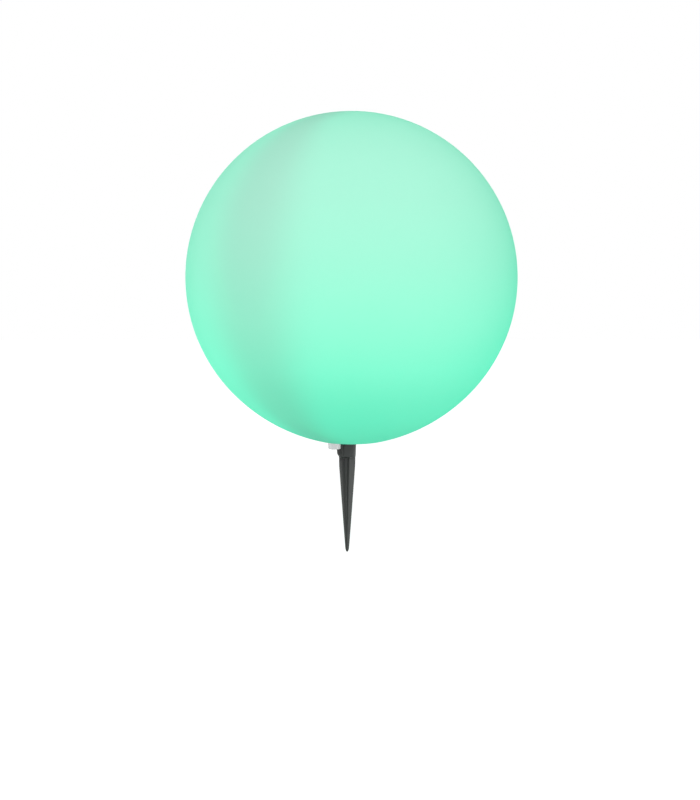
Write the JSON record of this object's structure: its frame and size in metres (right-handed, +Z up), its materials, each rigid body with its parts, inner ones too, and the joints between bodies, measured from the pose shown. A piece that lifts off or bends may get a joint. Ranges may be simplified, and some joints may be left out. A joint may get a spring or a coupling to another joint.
{
  "type": "garden globe light",
  "caption": "Large opal ball light for gardens, on a push-in ground spike with a twist-lock collar, a push button and a capped charging port under its flat base.",
  "frame": {"origin": "on the ground spike's axis at ground level, just under the collar's foot", "axes": "+Z up along the spike, towards the globe; +X to the right as pictured; the picture looks along +Y"},
  "size_m": [0.4, 0.4, 0.5355],
  "materials": {
    "opal_polyethylene": "satin, lit from inside",
    "black_polypropylene": "moulded, satin",
    "grey_button_plastic": "silver-grey lacquer, satin",
    "black_rubber": "matte",
    "steel": "passivated",
    "brass": "machined",
    "white_polycarbonate": "frosted",
    "housing_plastic": "moulded, satin",
    "cradle_plastic": "moulded",
    "circuit_board": "solder mask",
    "light_board": "white solder mask",
    "light_chip": "clear resin",
    "component_black": "moulded",
    "coil_grey": "ferrite",
    "capacitor_can": "bright",
    "connector_white": "nylon",
    "cell_sleeve": "shrink sleeve",
    "nickel": "nickel plated",
    "aluminium_plate": "milled",
    "foam": "closed cell",
    "wire_red": "extruded sleeve",
    "receiver_black": "tinted resin",
    "switch_plastic": "moulded"
  },
  "bodies": {
    "spike": {"ground_spike": "black_polypropylene"},
    "lamp": {"globe_shell": "opal_polyethylene", "threaded_inserts": "brass", "base_gasket": "black_rubber", "base_cover": "black_polypropylene", "cover_screws": "steel", "spike_socket": "black_polypropylene", "socket_seal": "black_rubber", "socket_screws": "steel", "tact_switch": "switch_plastic", "usb_socket": "steel", "service_board": "circuit_board", "service_screws": "steel", "module_housing": "housing_plastic", "housing_seal": "black_rubber", "housing_screws": "steel", "battery_cells": "cell_sleeve", "battery_cradle": "cradle_plastic", "nickel_strips": "nickel", "foam_pad": "foam", "driver_board": "circuit_board", "driver_chips": "component_black", "power_inductor": "coil_grey", "capacitors": "capacitor_can", "board_connectors": "connector_white", "driver_screws": "steel", "heat_plate": "aluminium_plate", "led_board": "light_board", "led_chips": "light_chip", "infrared_receiver": "receiver_black", "led_screws": "steel", "diffuser_dome": "white_polycarbonate", "dome_screws": "steel", "battery_leads": "wire_red", "service_leads": "wire_red", "led_leads": "wire_red"},
    "collar": {"locking_collar": "black_polypropylene"},
    "button": {"button_cap": "grey_button_plastic", "button_ring": "black_rubber", "switch_plunger": "switch_plastic"},
    "plug": {"port_plug": "black_rubber"}
  },
  "joints": [
    {"name": "lamp_lift", "type": "slide", "parent": "spike", "child": "lamp", "axis": [0, 0, 1], "range_m": [0, 0.06]},
    {"name": "collar_turn", "type": "hinge", "parent": "lamp", "child": "collar", "pos_m": [0, 0, 0], "axis": [0, 0, 1], "range_deg": [0, 60]},
    {"name": "button_press", "type": "slide", "parent": "lamp", "child": "button", "axis": [0, 0, 1], "range_m": [0, 0.0015], "stiffness_N_per_m": 1500, "springref_m": -0.001},
    {"name": "plug_pull", "type": "slide", "parent": "lamp", "child": "plug", "axis": [0, 0, -1], "range_m": [0, 0.012]}
  ]
}
